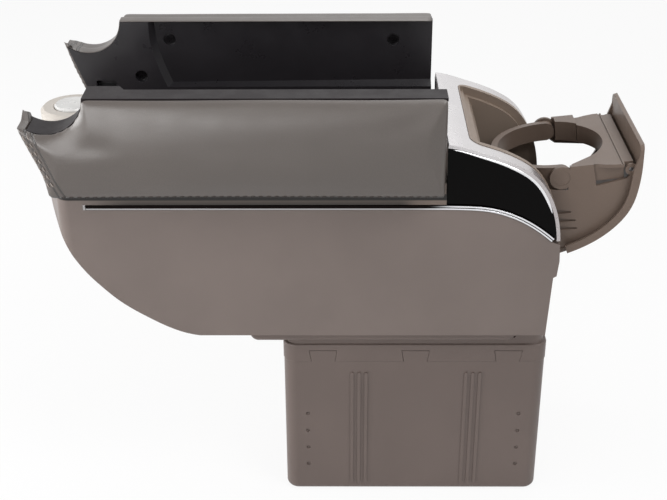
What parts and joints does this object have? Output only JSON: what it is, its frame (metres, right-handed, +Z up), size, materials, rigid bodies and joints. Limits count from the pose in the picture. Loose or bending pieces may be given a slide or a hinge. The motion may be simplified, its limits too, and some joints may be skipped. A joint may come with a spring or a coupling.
{
  "type": "car centre armrest",
  "caption": "Car armrest box on a plug-in base, with padded lids that open sideways, a round push button and a fold-out rear cup holder.",
  "frame": {"origin": "centre of the base's underside", "axes": "+X along the car towards the cup holder, +Y across the car, +Z up"},
  "size_m": [0.4057, 0.179, 0.324],
  "materials": {
    "taupe_plastic": "satin, fine grain",
    "dark_plastic": "satin, fine grain",
    "steel": "bright",
    "bright_strip": "polished",
    "piano_black": "high gloss",
    "satin_silver": "satin silver paint",
    "cup_plastic": "satin",
    "lid_leather": "fine grained, stitched",
    "post_plastic": "satin",
    "button_plastic": "satin silver paint"
  },
  "bodies": {
    "box": {"base_box": "taupe_plastic", "base_collar": "taupe_plastic", "foot_plate": "taupe_plastic", "body_shell": "taupe_plastic", "top_frame": "dark_plastic", "plate_screws": "steel", "hinge_rod_near": "steel", "hinge_rod_far": "steel", "door_pivots": "steel", "button_spring": "steel", "side_chrome_near": "bright_strip", "side_chrome_far": "bright_strip", "side_trim_near": "piano_black", "side_trim_far": "piano_black", "rear_cover": "satin_silver", "cup_housing": "cup_plastic", "button_bezel": "post_plastic"},
    "near_lid": {"lid_liner_near": "dark_plastic", "lid_pad_near": "lid_leather", "liner_screws_near": "steel"},
    "far_lid": {"lid_liner_far": "dark_plastic", "lid_pad_far": "lid_leather", "liner_screws_far": "steel"},
    "cup_door": {"cup_door": "cup_plastic", "ring_plate": "cup_plastic", "ring_pins": "steel"},
    "inner_ring": {"inner_ring": "cup_plastic"},
    "button": {"button_cap": "button_plastic"}
  },
  "joints": [
    {"name": "near_lid_hinge", "type": "hinge", "parent": "box", "child": "near_lid", "pos_m": [-0.11, -0.0646, 0.2606], "axis": [1, 0, 0], "range_deg": [-90, 0]},
    {"name": "far_lid_hinge", "type": "hinge", "parent": "box", "child": "far_lid", "pos_m": [-0.11, 0.0646, 0.2606], "axis": [1, 0, 0], "range_deg": [0, 90]},
    {"name": "cup_door_hinge", "type": "hinge", "parent": "box", "child": "cup_door", "pos_m": [0.0865, 0, 0.2], "axis": [0, 1, 0], "range_deg": [-71, 0]},
    {"name": "inner_ring_fold", "type": "hinge", "parent": "cup_door", "child": "inner_ring", "pos_m": [0.09548, 0, 0.25062], "axis": [0, 1, 0], "range_deg": [-71, 0]},
    {"name": "button_press", "type": "slide", "parent": "box", "child": "button", "axis": [0, 0, 1], "range_m": [-0.003, 0], "stiffness_N_per_m": 600, "springref_m": 0.001, "deforming": ["button_spring"]}
  ],
  "couplings": [
    {"joint": "inner_ring_fold", "follows": "cup_door_hinge", "ratio": 1}
  ]
}
